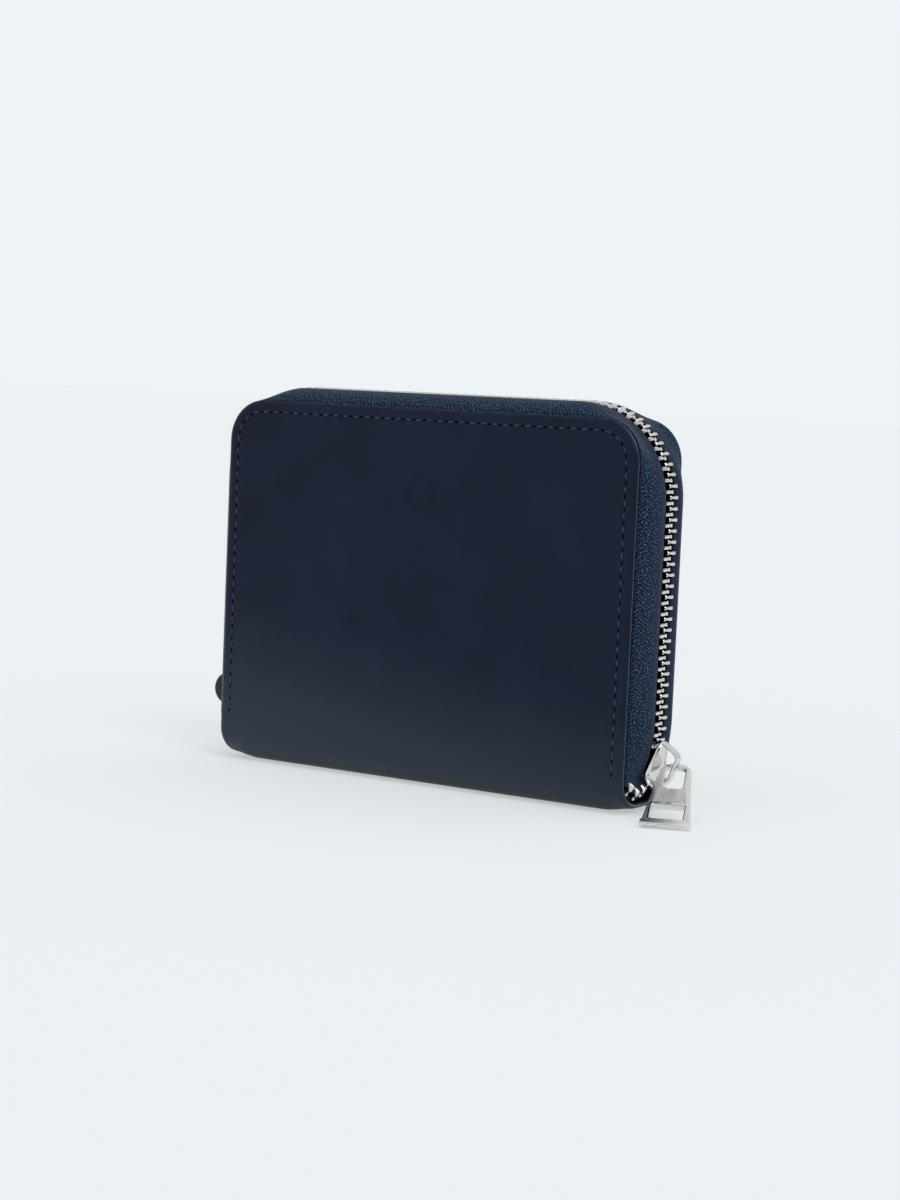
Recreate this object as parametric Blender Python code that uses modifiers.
"""Zip-around wallet standing on its folded spine: two leather covers, a spine strip, a metal zip round
three sides, card pockets, and a zipped coin pouch as the middle page. X is the width, -Y is the front
and +Z is up. The origin is the middle of the flat strip that the spine stands on."""

import math

import bmesh
import bpy
from mathutils import Matrix, Vector

MM = 0.001

# Driving dimensions
WIDTH = 128 * MM            # cover, left edge to right edge
HEIGHT = 100 * MM           # table to the covers' top edge
DEPTH = 24 * MM             # outside of front cover to outside of back cover
CORNER = 11 * MM            # radius of the covers' top corners
SPINE_RADIUS = 9 * MM       # outside radius of the spine's two folds
LEATHER = 1.5 * MM
LINING = 0.5 * MM
LINING_CORNER = 14 * MM     # larger than the cover's, clear of the tape that cuts the corner
TAPE = 0.5 * MM
CARD_LEATHER = 0.6 * MM
CARD_SLOTS = 3
CARD_STEP = 9 * MM          # each card pocket's top edge is this much lower than the one behind it
BILL_GAP = 0.5 * MM         # between the lining and the card pockets, for banknotes
GAP = 0.3 * MM              # between pieces that touch
EDGE_MARGIN = 3 * MM        # from the cover's edge to the card pockets

CHAIN_OUT = 3.2 * MM        # from the cover's edge out to the middle of the zip's teeth
CHAIN_CORNER = 24 * MM      # radius of the teeth's path at the top corners, larger than the covers'
CHAIN_THICK = 2.4 * MM
CHAIN_INNER = 0.6 * MM      # from the middle plane to the tip of a tooth
CHAIN_OUTER = 3.0 * MM      # from the middle plane to the root of a tooth
TOOTH_PITCH = 2.8 * MM
TOOTH_DEPTH = 1.3 * MM
TOOTH_SHARES = (0.02, 0.2, 0.72)   # where in a pitch a tooth's gap ends, and its tip starts and ends
TAPE_MARGIN = 5 * MM        # width of tape sewn under the cover's edge
CHAIN_LEFT_END = 24.5 * MM  # height at which the teeth start on the left
CHAIN_RIGHT_END = 20.5 * MM
TAPE_RIGHT_END = 9.5 * MM
TAPE_BOW = ((0.5, 1.2 * MM), (0.9, 3.6 * MM))   # share of the reach, and how far in from the sewn edge
BEND_START = 24 * MM        # below this height the right side of the zip curves in
BEND_RADIUS = 36 * MM

SLIDER_HEIGHT = 13.6 * MM    # height of the slider's middle, with the zip closed
SLIDER_LENGTH = 12.2 * MM
SLIDER_WIDTH = 9.2 * MM
SLIDER_NOSE = 5.6 * MM      # width of its narrow end
SLIDER_THICK = 5 * MM
SLIDER_CHANNEL = 3 * MM
SLIDER_NECK = 0.8 * MM
SLIDER_NECK_LENGTH = 3 * MM
SLIDER_NECK_INSET = 1 * MM  # from the wide end to the neck
BAIL_STRIP = 1.1 * MM
BAIL_WIDTH = 2.2 * MM
BAIL_SLOPE = 2 * MM         # length over which the bail rises at each end
BAIL_INSET = (0.6 * MM, 1 * MM)   # from the slider's wide and narrow ends to the bail's feet

PULL_LENGTH = 28.5 * MM
PULL_FOOT = 12.7 * MM
PULL_TOP = 8 * MM
PULL_THICK = 1.3 * MM
PULL_SLOT = 5 * MM
PULL_SLOT_LENGTH = 9.7 * MM
PULL_SLOT_CORNER = 1.3 * MM
PULL_RIM = 2.1 * MM         # metal round the end of the slot
PULL_WINDOW = (8.2 * MM, 7 * MM)
PULL_FOOT_BAR = 2.3 * MM
PULL_YAW = math.radians(22)
PULL_DROP = 2.1 * MM        # from the slider's middle down to the pull's pivot
PULL_PLAY = 0.7 * MM        # extra room between the pull's arm and the slider
PULL_HANG = 2.7 * MM        # from the top of the slot down to the pivot

TAB_HEIGHT = 9 * MM         # leather tab over the end of the zip
TAB_TOP = 23 * MM
TAB_REACH = 9.5 * MM        # how far the tab stands out past the covers
TAB_DEPTH = 7 * MM

POUCH_DEPTH = 6 * MM
POUCH_WALL = 0.8 * MM
POUCH_BOTTOM = 6.5 * MM
POUCH_HINGE_DROP = 1 * MM   # from the pouch's lower edge down to the line it leans about
POUCH_TOP = 87.4 * MM
POUCH_SIDE_GAP = 6.5 * MM     # from the covers' edges to the pouch's edges
COIL_THICK = 1.1 * MM
COIL_TIP = 0.65 * MM
COIL_ROOT = 1.5 * MM
COIN_SLIDER_LENGTH = 8 * MM
COIN_PULL_LENGTH = 9 * MM
COIN_PULL_WIDTH = 4 * MM
COIN_PULL_THICK = 0.9 * MM
COIN_PULL_RIM = 1 * MM
COIN_NECK_INSET = 1 * MM
COIN_LOOP_WIDTH = 1.2 * MM

ARC_STEPS = 6

PULL_ARM_WIDTH = (PULL_TOP - PULL_SLOT) / 2
BAIL_OPEN = PULL_ARM_WIDTH + 2.2 * MM   # clear height under the bail

HALF_W = WIDTH / 2
HALF_D = DEPTH / 2
FOLD_PART = math.pi / 4     # the covers hinge half-way round each fold
FOLD_Y = HALF_D - SPINE_RADIUS * (1 - math.sin(FOLD_PART))
FOLD_Z = SPINE_RADIUS * (1 - math.cos(FOLD_PART))
POUCH_PIVOT_Z = POUCH_BOTTOM - POUCH_HINGE_DROP
TAPE_Y = HALF_D - LEATHER - GAP - TAPE / 2
LINING_Y = TAPE_Y - TAPE / 2 - GAP - LINING / 2


# Scene and materials

for old in list(bpy.data.objects):
    bpy.data.objects.remove(old)

wallet = bpy.data.collections.new("zip_around_wallet")
cutters = bpy.data.collections.new("cutters")
bpy.context.scene.collection.children.link(wallet)
bpy.context.scene.collection.children.link(cutters)


def material(name, colour, roughness, metallic=0.0):
    made = bpy.data.materials.new(name)
    made.use_nodes = True
    shader = made.node_tree.nodes["Principled BSDF"]
    shader.inputs["Base Color"].default_value = (*colour, 1)
    shader.inputs["Roughness"].default_value = roughness
    shader.inputs["Metallic"].default_value = metallic
    made.diffuse_color = (*colour, 1)
    return made


NAVY_LEATHER = material("navy_leather", (0.018, 0.022, 0.040), 0.42)
INNER_LEATHER = material("inner_leather", (0.022, 0.027, 0.048), 0.5)
LINING_CLOTH = material("lining_cloth", (0.020, 0.030, 0.060), 0.85)
TAPE_CLOTH = material("zip_tape", (0.014, 0.034, 0.092), 0.9)
NICKEL = material("nickel", (0.72, 0.72, 0.71), 0.2, 1.0)
COIL_NYLON = material("coil_nylon", (0.020, 0.035, 0.080), 0.45)


def empty(name, place, parent=None):
    made = bpy.data.objects.new(name, None)
    wallet.objects.link(made)
    made.parent = parent
    made.location = place if parent is None else Vector(place) - parent.matrix_world.translation
    bpy.context.view_layer.update()
    return made


def add(name, data, finish, parent, matrix=None, group=wallet):
    """Links a mesh or curve whose points are in world metres, or placed by a matrix, under its body."""
    made = bpy.data.objects.new(name, data)
    group.objects.link(made)
    data.materials.append(finish)
    made.parent = parent
    place = matrix or Matrix.Identity(4)
    made.matrix_basis = parent.matrix_world.inverted() @ place if parent else place
    return made


# Shapes

def arc(centre, radius, start, end, steps=ARC_STEPS):
    """Points of an arc in a plane, angles in radians."""
    angles = [start + (end - start) * i / steps for i in range(steps + 1)]
    return [(centre[0] + radius * math.cos(a), centre[1] + radius * math.sin(a)) for a in angles]


def page_outline(half_width, bottom, top, radius):
    """A page seen from the front: square at the bottom, with round top corners."""
    right = arc((half_width - radius, top - radius), radius, 0, math.pi / 2)
    left = arc((radius - half_width, top - radius), radius, math.pi / 2, math.pi)
    return [(half_width, bottom), *right, *left, (-half_width, bottom)]


def outline_curve(name, outlines, thickness):
    """A flat plate: each outline is a closed spline, and an outline inside another is a hole."""
    curve = bpy.data.curves.new(name, "CURVE")
    curve.dimensions = "2D"
    curve.fill_mode = "BOTH"
    curve.extrude = thickness / 2
    for points in outlines:
        spline = curve.splines.new("POLY")
        spline.points.add(len(points) - 1)
        for point, place in zip(spline.points, points):
            point.co = (*place, 0, 1)
        spline.use_cyclic_u = True
    return curve


def standing(y):
    """Turns a flat outline in X and Y into one in X and Z, centred on the given Y."""
    return Matrix.Translation((0, y, 0)) @ Matrix.Rotation(math.pi / 2, 4, "X")


def page(name, y, finish, parent, thickness, half_width, bottom, top, radius):
    curve = outline_curve(name, [page_outline(half_width, bottom, top, radius)], thickness)
    return add(name, curve, finish, parent, standing(y))


def solidify(obj, thickness, offset):
    shell = obj.modifiers.new("thickness", "SOLIDIFY")
    shell.thickness = thickness
    shell.offset = offset
    shell.use_even_offset = True


def surface(name, rows, finish, parent, thickness):
    """A sheet of cloth or leather through rows of points, with its thickness centred on them."""
    mesh = bmesh.new()
    grid = [[mesh.verts.new(point) for point in row] for row in rows]
    for low, high in zip(grid, grid[1:]):
        for i in range(len(low) - 1):
            mesh.faces.new((low[i], low[i + 1], high[i + 1], high[i]))
    data = bpy.data.meshes.new(name)
    mesh.to_mesh(data)
    mesh.free()
    made = add(name, data, finish, parent)
    solidify(made, thickness, 0)
    return made


def ring_solid(name, rings, finish, parent):
    """A solid through rings of four points each, closed at both ends."""
    mesh = bmesh.new()
    made = [[mesh.verts.new(point) for point in ring] for ring in rings]
    for low, high in zip(made, made[1:]):
        for i in range(4):
            mesh.faces.new((low[i], low[(i + 1) % 4], high[(i + 1) % 4], high[i]))
    mesh.faces.new(made[0])
    mesh.faces.new(reversed(made[-1]))
    bmesh.ops.recalc_face_normals(mesh, faces=mesh.faces)
    data = bpy.data.meshes.new(name)
    mesh.to_mesh(data)
    mesh.free()
    return add(name, data, finish, parent)


def box(name, low, high, finish, parent, matrix=None, group=wallet):
    mesh = bmesh.new()
    bmesh.ops.create_cube(mesh, size=1)
    size = [b - a for a, b in zip(low, high)]
    middle = [(a + b) / 2 for a, b in zip(low, high)]
    bmesh.ops.scale(mesh, vec=size, verts=mesh.verts)
    bmesh.ops.translate(mesh, vec=middle, verts=mesh.verts)
    data = bpy.data.meshes.new(name)
    mesh.to_mesh(data)
    mesh.free()
    return add(name, data, finish, parent, matrix, group)


def to_mesh(obj):
    """Replaces a curve object by the welded mesh that it makes, so that a Boolean can work on it."""
    bpy.context.view_layer.update()
    seen = obj.evaluated_get(bpy.context.evaluated_depsgraph_get())
    data = bpy.data.meshes.new_from_object(seen)
    mesh = bmesh.new()
    mesh.from_mesh(data)
    bmesh.ops.remove_doubles(mesh, verts=mesh.verts, dist=1e-6)
    mesh.to_mesh(data)
    mesh.free()
    made = bpy.data.objects.new("mesh", data)
    for group in obj.users_collection:
        group.objects.link(made)
    made.parent = obj.parent
    made.matrix_basis = obj.matrix_basis.copy()
    name = obj.name
    bpy.data.objects.remove(obj)
    made.name = name
    return made


def join(obj, *others):
    for other in others:
        other.hide_render = True
        other.display_type = "WIRE"
        union = obj.modifiers.new("join " + other.name, "BOOLEAN")
        union.operation = "UNION"
        union.object = other


# Bodies: each moving one hangs from an empty on its joint

spine = empty("spine_body", (0, 0, 0))
front = empty("front_cover_body", (0, -FOLD_Y, FOLD_Z), spine)
back = empty("back_cover_body", (0, FOLD_Y, FOLD_Z), spine)
pouch = empty("coin_pouch_body", (0, 0, POUCH_PIVOT_Z), spine)


# Covers and spine

def fold_point(angle, radius=SPINE_RADIUS):
    """Distance from the middle plane, and height, at an angle round a fold from the table up."""
    return (HALF_D - SPINE_RADIUS + radius * math.sin(angle), SPINE_RADIUS - radius * math.cos(angle))


def cover(name, side, parent):
    """A cover with its half of the fold: side is -1 at the front and 1 at the back."""
    middle = SPINE_RADIUS - LEATHER / 2
    seam = FOLD_PART + GAP / SPINE_RADIUS
    bend = [seam + (math.pi / 2 - seam) * i / ARC_STEPS for i in range(ARC_STEPS + 1)]
    profile = [fold_point(a, middle) for a in bend]
    corner = arc((HALF_W - CORNER, HEIGHT - CORNER), CORNER, 0, math.pi / 2, 2 * ARC_STEPS)
    profile += [(HALF_D - LEATHER / 2, z) for x, z in corner]
    widths = [HALF_W] * len(bend) + [x for x, z in corner]
    rows = [[(w * share, side * y, z) for share in (-1, 1)] for w, (y, z) in zip(widths, profile)]
    return surface(name, rows, NAVY_LEATHER, parent, LEATHER)


cover("front_cover", -1, front)
cover("back_cover", 1, back)


def spine_strip(name, radius, thickness, limit, half_width, finish):
    folds = [fold_point(limit * (1 - i / ARC_STEPS), radius) for i in range(ARC_STEPS + 1)]
    profile = [(-y, z) for y, z in folds] + [(y, z) for y, z in reversed(folds)]
    rows = [[(x, y, z) for x in (-half_width, half_width)] for y, z in profile]
    return surface(name, rows, finish, spine, thickness)


SPINE_LIMIT = FOLD_PART - GAP / SPINE_RADIUS
spine_strip("spine_strip", SPINE_RADIUS - LEATHER / 2, LEATHER, SPINE_LIMIT, HALF_W, NAVY_LEATHER)
LINING_RADIUS = SPINE_RADIUS - LEATHER - GAP - LINING / 2
spine_strip("spine_lining", LINING_RADIUS, LINING, SPINE_LIMIT, HALF_W - EDGE_MARGIN, LINING_CLOTH)


# Linings and card pockets

PAGE_BOTTOM = SPINE_RADIUS + 2 * GAP


def pockets(label, side, parent):
    page(f"{label}_lining", side * LINING_Y, LINING_CLOTH, parent, LINING,
         HALF_W - GAP, PAGE_BOTTOM, HEIGHT - GAP, LINING_CORNER)
    inner = LINING_Y - LINING / 2 - BILL_GAP
    width = HALF_W - EDGE_MARGIN
    top = HEIGHT - EDGE_MARGIN
    for i in range(CARD_SLOTS + 1):
        y = inner - CARD_LEATHER / 2 - i * (CARD_LEATHER + GAP)
        name = f"{label}_card_pocket_{i}" if i else f"{label}_pocket_base"
        radius = CORNER - EDGE_MARGIN if i == 0 else 1.5 * MM
        page(name, side * y, INNER_LEATHER, parent, CARD_LEATHER, width, PAGE_BOTTOM,
             top - i * CARD_STEP - (CARD_STEP if i else 0), radius)


pockets("front", -1, front)
pockets("back", 1, back)


# Main zip: tape halves, teeth, stop and end tab

def bend_in(z):
    """How far the zip has curved in at a height on its right side."""
    below = max(0.0, BEND_START - z)
    return below * below / (2 * BEND_RADIUS)


def corner_reach(point, normal):
    """How far out the teeth's path lies near a top corner, where its arc cuts across the covers' corner."""
    sign = 1 if point[0] > 0 else -1
    centre = (sign * (HALF_W + CHAIN_OUT - CHAIN_CORNER), HEIGHT + CHAIN_OUT - CHAIN_CORNER)
    away = (point[0] - centre[0], point[1] - centre[1])
    along = away[0] * normal[0] + away[1] * normal[1]
    return math.sqrt(along ** 2 - away[0] ** 2 - away[1] ** 2 + CHAIN_CORNER ** 2) - along


def edge_path(left_end, right_end, bend_steps=5, run_in=3):
    """Stations along the covers' edge, left, top and right: point, outward direction, and zip's reach."""
    path = [((-HALF_W, left_end), (-1, 0), CHAIN_OUT)]
    early = CHAIN_CORNER - CHAIN_OUT - CORNER
    for sign, start, end in ((-1, math.pi, math.pi / 2), (1, math.pi / 2, 0)):
        centre = (sign * (HALF_W - CORNER), HEIGHT - CORNER)
        stations = [((x, z), ((x - centre[0]) / CORNER, (z - centre[1]) / CORNER))
                    for x, z in arc(centre, CORNER, start, end, 2 * ARC_STEPS)]
        offsets = [early * (i + 1) / run_in for i in range(run_in)]
        side_run = [((sign * HALF_W, centre[1] - offset), (sign, 0)) for offset in offsets]
        top_run = [((centre[0] - sign * offset, HEIGHT), (0, 1)) for offset in offsets]
        if sign < 0:
            stations = side_run[::-1] + stations + top_run
        else:
            stations = top_run[::-1] + stations + side_run
        path += [(point, normal, corner_reach(point, normal)) for point, normal in stations]
    for i in range(bend_steps + 1):
        z = BEND_START + (right_end - BEND_START) * i / bend_steps
        path.append(((HALF_W, z), (1, 0), CHAIN_OUT - bend_in(z)))
    return path


def zip_tape(name, side, parent):
    """From under the cover's edge the tape bows out and runs in to the root of the teeth."""
    rows = []
    for (x, z), (nx, nz), reach in edge_path(CHAIN_LEFT_END, TAPE_RIGHT_END):
        bow = [(share * reach, TAPE_Y - fall) for share, fall in TAPE_BOW]
        across = [(-TAPE_MARGIN, TAPE_Y), (0, TAPE_Y), *bow, (reach, CHAIN_OUTER + GAP)]
        rows.append([(x + out * nx, side * y, z + out * nz) for out, y in across])
    return surface(name, rows, TAPE_CLOTH, parent, TAPE)


zip_tape("front_zip_tape", -1, front)
zip_tape("back_zip_tape", 1, back)


def chain_place(distance):
    """The point and outward direction at a distance along the middle of the teeth, from the left end."""
    out = HALF_W + CHAIN_OUT
    shoulder = HEIGHT + CHAIN_OUT - CHAIN_CORNER
    rise = shoulder - CHAIN_LEFT_END
    turn = CHAIN_CORNER * math.pi / 2
    across = 2 * (out - CHAIN_CORNER)
    if distance < rise:
        return (-out, CHAIN_LEFT_END + distance), (-1, 0)
    distance -= rise
    for sign, start in ((-1, math.pi), (1, math.pi / 2)):
        if distance < turn:
            angle = start - distance / CHAIN_CORNER
            centre = (sign * (out - CHAIN_CORNER), shoulder)
            normal = (math.cos(angle), math.sin(angle))
            return tuple(c + CHAIN_CORNER * n for c, n in zip(centre, normal)), normal
        distance -= turn
        if sign == -1:
            if distance < across:
                return (CHAIN_CORNER - out + distance, HEIGHT + CHAIN_OUT), (0, 1)
            distance -= across
    return (out, shoulder - distance), (1, 0)


CHAIN_LENGTH = (2 * (HEIGHT + CHAIN_OUT - CHAIN_CORNER) - CHAIN_LEFT_END - CHAIN_RIGHT_END
                + math.pi * CHAIN_CORNER + 2 * (HALF_W + CHAIN_OUT - CHAIN_CORNER))


def zip_teeth(name, side, parent):
    """One row of teeth as one comb: a cord at the roots, with a tooth at every pitch."""
    count = int(CHAIN_LENGTH / TOOTH_PITCH)
    rings = []
    for i in range(count):
        start = i * TOOTH_PITCH
        for share, tip in zip(TOOTH_SHARES, (CHAIN_INNER + TOOTH_DEPTH, CHAIN_INNER, CHAIN_INNER)):
            (x, z), (nx, nz) = chain_place(start + share * TOOTH_PITCH)
            half = CHAIN_THICK / 2
            rings.append([(x + o * nx, side * y, z + o * nz)
                          for o, y in ((-half, tip), (half, tip), (half, CHAIN_OUTER), (-half, CHAIN_OUTER))])
    return ring_solid(name, rings, NICKEL, parent)


zip_teeth("front_zip_teeth", -1, front)
zip_teeth("back_zip_teeth", 1, back)

STOP_HEIGHT = 1.2 * MM
stop_x = -HALF_W - CHAIN_OUT
stop_top = CHAIN_LEFT_END - GAP
box("zip_bottom_stop", (stop_x - CHAIN_THICK / 2, -CHAIN_OUTER, stop_top - STOP_HEIGHT),
    (stop_x + CHAIN_THICK / 2, CHAIN_OUTER, stop_top), NICKEL, spine)


def end_tab():
    """A folded leather tab over the end of the zip, with a stem down to the spine's lining."""
    tab_top = min(TAB_TOP, stop_top - STOP_HEIGHT - GAP)
    round_end = TAB_HEIGHT / 2
    tip = arc((-HALF_W - TAB_REACH + round_end, tab_top - round_end), round_end, math.pi / 2, 1.5 * math.pi)
    inner = -HALF_W + TAPE_MARGIN
    foot = LEATHER + LINING + 2 * GAP
    points = [(inner, foot), (inner, tab_top), *tip, (-HALF_W + LEATHER, tab_top - TAB_HEIGHT),
              (-HALF_W + LEATHER, foot)]
    return add("zip_end_tab", outline_curve("zip_end_tab", [points], TAB_DEPTH), NAVY_LEATHER, spine,
               standing(0))


end_tab()


# Slider, in its own axes: X outwards, Y across the chain, Z up the chain

slider_turn = math.atan((BEND_START - SLIDER_HEIGHT) / BEND_RADIUS)
slider_place = (HALF_W + CHAIN_OUT - bend_in(SLIDER_HEIGHT), 0, SLIDER_HEIGHT)
slider = empty("slider_body", slider_place, front)
slider_axes = Matrix.Translation(slider_place) @ Matrix.Rotation(slider_turn, 4, "Y")


def slider_plate(name, low, high, group=wallet):
    """A pear-shaped plate from one height to another above the chain's middle."""
    half = SLIDER_LENGTH / 2
    nose = arc((half - SLIDER_NOSE / 2, 0), SLIDER_NOSE / 2, -math.pi / 2, math.pi / 2)
    mouth = arc((SLIDER_WIDTH / 2 - half, 0), SLIDER_WIDTH / 2, math.pi / 2, 1.5 * math.pi)
    curve = outline_curve(name, [nose + mouth], high - low)
    turn = Matrix(((0, 0, 1, (low + high) / 2), (0, -1, 0, 0), (1, 0, 0, 0), (0, 0, 0, 1)))
    return to_mesh(add(name, curve, NICKEL, slider, slider_axes @ turn, group))


def slider_piece():
    half = SLIDER_THICK / 2
    channel = SLIDER_CHANNEL / 2
    body = slider_plate("zip_slider", channel, half)
    inner = slider_plate("slider_inner_plate", -half, -channel, cutters)
    mouth = -SLIDER_LENGTH / 2
    overlap = 0.2 * MM
    neck = box("slider_neck", (-channel - overlap, -SLIDER_NECK / 2, mouth + SLIDER_NECK_INSET),
               (channel + overlap, SLIDER_NECK / 2, mouth + SLIDER_NECK_INSET + SLIDER_NECK_LENGTH),
               NICKEL, slider, slider_axes, cutters)
    low, high = mouth + BAIL_INSET[0], SLIDER_LENGTH / 2 - BAIL_INSET[1]
    under, over = half + BAIL_OPEN, half + BAIL_OPEN + BAIL_STRIP
    slope = BAIL_SLOPE
    outside = [(half - overlap, low), (under, low), (over, low + slope), (over, high - slope),
               (half + BAIL_STRIP, high), (half - overlap, high)]
    inside = [(half - overlap, high - 1.6 * BAIL_STRIP), (under, high - slope - BAIL_STRIP),
              (under, low + slope), (half + 0.4 * BAIL_OPEN, low + BAIL_STRIP),
              (half - overlap, low + BAIL_STRIP)]
    arch = outline_curve("slider_bail", [outside + inside], BAIL_WIDTH)
    turn = Matrix(((1, 0, 0, 0), (0, 0, -1, 0), (0, 1, 0, 0), (0, 0, 0, 1)))
    bail = to_mesh(add("slider_bail", arch, NICKEL, slider, slider_axes @ turn, cutters))
    join(body, inner, neck, bail)
    return body


slider_piece()


# Pull: a flat plate with a slot at the bail and a window at its foot, which rests on the table

pull_arm = (PULL_SLOT + PULL_ARM_WIDTH) / 2      # from the pull's centre line to the middle of one arm
pull_seat = SLIDER_THICK / 2 + GAP + PULL_ARM_WIDTH / 2 + PULL_PLAY
pull_pivot = slider_axes @ Vector((pull_seat, 0, -PULL_DROP))
pull_hold = PULL_LENGTH - PULL_RIM - PULL_HANG   # from the foot to the pivot
pull_slope = math.asin((pull_pivot.z - PULL_THICK / 2) / pull_hold)
pull = empty("pull_body", pull_pivot, slider)


def pull_plate():
    end_radius = PULL_TOP / 2
    end = arc((0, PULL_LENGTH - end_radius), end_radius, 0, math.pi, 2 * ARC_STEPS)
    rim = [(-PULL_FOOT / 2, 0), (PULL_FOOT / 2, 0), *end]
    slot_top = PULL_LENGTH - PULL_RIM
    reach, radius = PULL_SLOT / 2 - PULL_SLOT_CORNER, PULL_SLOT_CORNER
    slot = []
    for quarter, (x, y) in enumerate(((reach, slot_top - radius), (-reach, slot_top - radius),
                                      (-reach, slot_top - PULL_SLOT_LENGTH + radius),
                                      (reach, slot_top - PULL_SLOT_LENGTH + radius))):
        slot += arc((x, y), radius, quarter * math.pi / 2, (quarter + 1) * math.pi / 2, 3)
    half, tall = PULL_WINDOW[0] / 2, PULL_WINDOW[1]
    window = [(-half, PULL_FOOT_BAR), (half, PULL_FOOT_BAR), (half, PULL_FOOT_BAR + tall),
              (-half, PULL_FOOT_BAR + tall)]
    curve = outline_curve("zip_pull", [rim, slot, window], PULL_THICK)
    across = Vector((math.cos(PULL_YAW), math.sin(PULL_YAW), 0))
    up = Vector((-math.sin(PULL_YAW) * math.cos(pull_slope), math.cos(PULL_YAW) * math.cos(pull_slope),
                 math.sin(pull_slope)))
    out = across.cross(up)
    start = pull_pivot + across * pull_arm - up * pull_hold
    place = Matrix((across, up, out)).transposed().to_4x4()
    place.translation = start
    return add("zip_pull", curve, NICKEL, pull, place)


pull_plate()


# Coin pouch: the middle page, a flat pocket that opens along its top with a small coil zip

POUCH_HALF_W = HALF_W - POUCH_SIDE_GAP
POUCH_RADIUS = 3 * MM
WALL_Y = (POUCH_DEPTH - POUCH_WALL) / 2
for label, side in (("front", -1), ("back", 1)):
    page(f"pouch_{label}_wall", side * WALL_Y, INNER_LEATHER, pouch, POUCH_WALL,
         POUCH_HALF_W, POUCH_BOTTOM, POUCH_TOP, POUCH_RADIUS)


def pouch_gusset():
    """A U of leather that closes the pouch at its sides and bottom, between its two walls."""
    outer, wall = POUCH_HALF_W, POUCH_WALL
    top = POUCH_TOP - POUCH_RADIUS
    points = [(-outer, POUCH_BOTTOM), (outer, POUCH_BOTTOM), (outer, top), (outer - wall, top),
              (outer - wall, POUCH_BOTTOM + wall), (wall - outer, POUCH_BOTTOM + wall),
              (wall - outer, top), (-outer, top)]
    depth = POUCH_DEPTH - 2 * POUCH_WALL - 2 * GAP
    return add("pouch_gusset", outline_curve("pouch_gusset", [points], depth), INNER_LEATHER, pouch,
               standing(0))


pouch_gusset()

COIN_ZIP_HALF = POUCH_HALF_W - POUCH_RADIUS - 4 * MM
coil_z = POUCH_TOP + GAP + TAPE / 2
for label, side in (("front", -1), ("back", 1)):
    reach = sorted((side * (COIL_ROOT + GAP), side * POUCH_DEPTH / 2))
    box(f"coin_zip_tape_{label}", (-COIN_ZIP_HALF, reach[0], coil_z - TAPE / 2),
        (COIN_ZIP_HALF, reach[1], coil_z + TAPE / 2), TAPE_CLOTH, pouch)
    reach = sorted((side * COIL_TIP, side * COIL_ROOT))
    box(f"coin_zip_coil_{label}", (-COIN_ZIP_HALF, reach[0], coil_z - COIL_THICK / 2),
        (COIN_ZIP_HALF, reach[1], coil_z + COIL_THICK / 2), COIL_NYLON, pouch)

COIN_STOP = 1.2 * MM
for label, side in (("left", -1), ("right", 1)):
    ends = sorted((side * (COIN_ZIP_HALF + GAP), side * (COIN_ZIP_HALF + GAP + COIN_STOP)))
    box(f"coin_zip_stop_{label}", (ends[0], -COIL_ROOT, coil_z - COIL_THICK / 2),
        (ends[1], COIL_ROOT, coil_z + COIL_THICK / 2), NICKEL, pouch)

coin_slider_x = COIN_ZIP_HALF - COIN_SLIDER_LENGTH / 2 - GAP
coin_slider = empty("coin_slider_body", (coin_slider_x, 0, coil_z), pouch)
PLATE = 0.8 * MM
plate_low = COIL_THICK / 2 + GAP
LOOP_CLEAR = 0.5 * MM
LOOP_STRIP = 0.7 * MM


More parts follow.
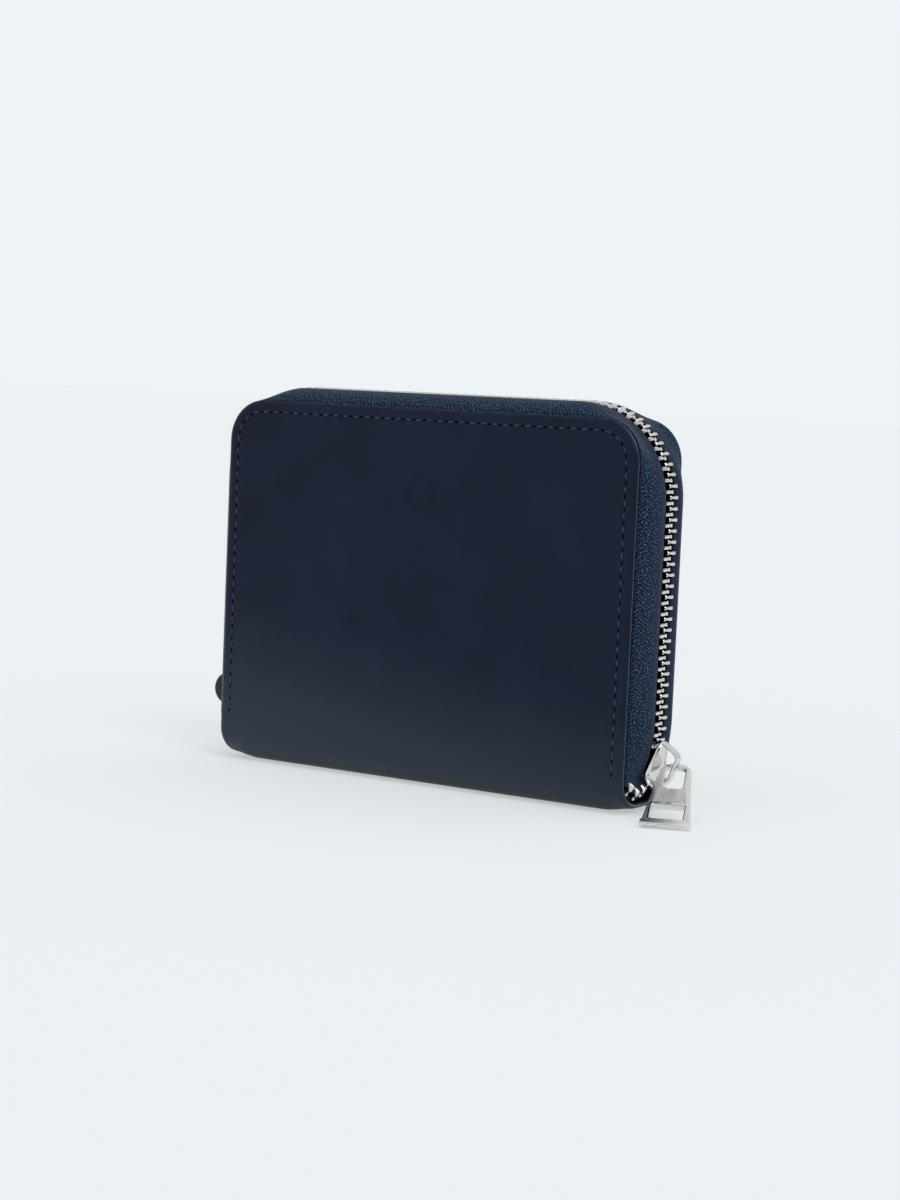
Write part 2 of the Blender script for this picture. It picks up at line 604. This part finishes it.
def coin_slider_piece():
    """Upper and lower plates with a neck between the two coils, and a small loop for its pull."""
    half = COIN_SLIDER_LENGTH / 2
    lower_half = POUCH_DEPTH / 2 - POUCH_WALL - GAP
    upper_half = POUCH_DEPTH / 2
    neck = COIL_TIP - GAP
    axes = Matrix.Translation((coin_slider_x, 0, coil_z))
    body = box("coin_slider", (-half, -upper_half, plate_low), (half, upper_half, plate_low + PLATE),
               NICKEL, coin_slider, axes)
    lower = box("coin_lower_plate", (-half, -lower_half, -plate_low - PLATE), (half, lower_half, -plate_low),
                NICKEL, coin_slider, axes, cutters)
    post = box("coin_neck", (-half + COIN_NECK_INSET, -neck, -plate_low - PLATE / 2),
               (half - COIN_NECK_INSET, neck, plate_low + PLATE / 2), NICKEL, coin_slider, axes, cutters)
    top = plate_low + PLATE
    clear = COIN_PULL_THICK + 2 * LOOP_CLEAR
    reach = COIN_PULL_THICK / 2 + LOOP_CLEAR
    points = [(-reach - LOOP_STRIP, top - PLATE / 2), (-reach, top - PLATE / 2), (-reach, top + clear),
              (reach, top + clear), (reach, top - PLATE / 2), (reach + LOOP_STRIP, top - PLATE / 2),
              (reach + LOOP_STRIP, top + clear + LOOP_STRIP), (-reach - LOOP_STRIP, top + clear + LOOP_STRIP)]
    arch = add("coin_loop", outline_curve("coin_loop", [points], COIN_LOOP_WIDTH), NICKEL, coin_slider,
               axes @ standing(0), cutters)
    join(body, lower, post, to_mesh(arch))
    return body


coin_slider_piece()

coin_pivot = Vector((coin_slider_x, 0, coil_z + plate_low + PLATE + LOOP_CLEAR + COIN_PULL_THICK / 2))
coin_pull = empty("coin_pull_body", coin_pivot, coin_slider)


def coin_pull_plate():
    bar = COIN_PULL_THICK / 2
    half = COIN_PULL_WIDTH / 2
    inner = half - COIN_PULL_RIM
    reach = LOOP_CLEAR + bar + LOOP_STRIP + 2 * LOOP_CLEAR
    end = arc((-COIN_PULL_LENGTH + half, 0), half, 1.5 * math.pi, math.pi / 2)
    points = [(bar, half), (bar, -half), *end]
    eye = [(-bar, inner), (-bar, -inner), (-bar - reach, -inner), (-bar - reach, inner)]
    curve = outline_curve("coin_pull", [points, eye], COIN_PULL_THICK)
    return add("coin_pull", curve, NICKEL, coin_pull, Matrix.Translation(coin_pivot))


coin_pull_plate()
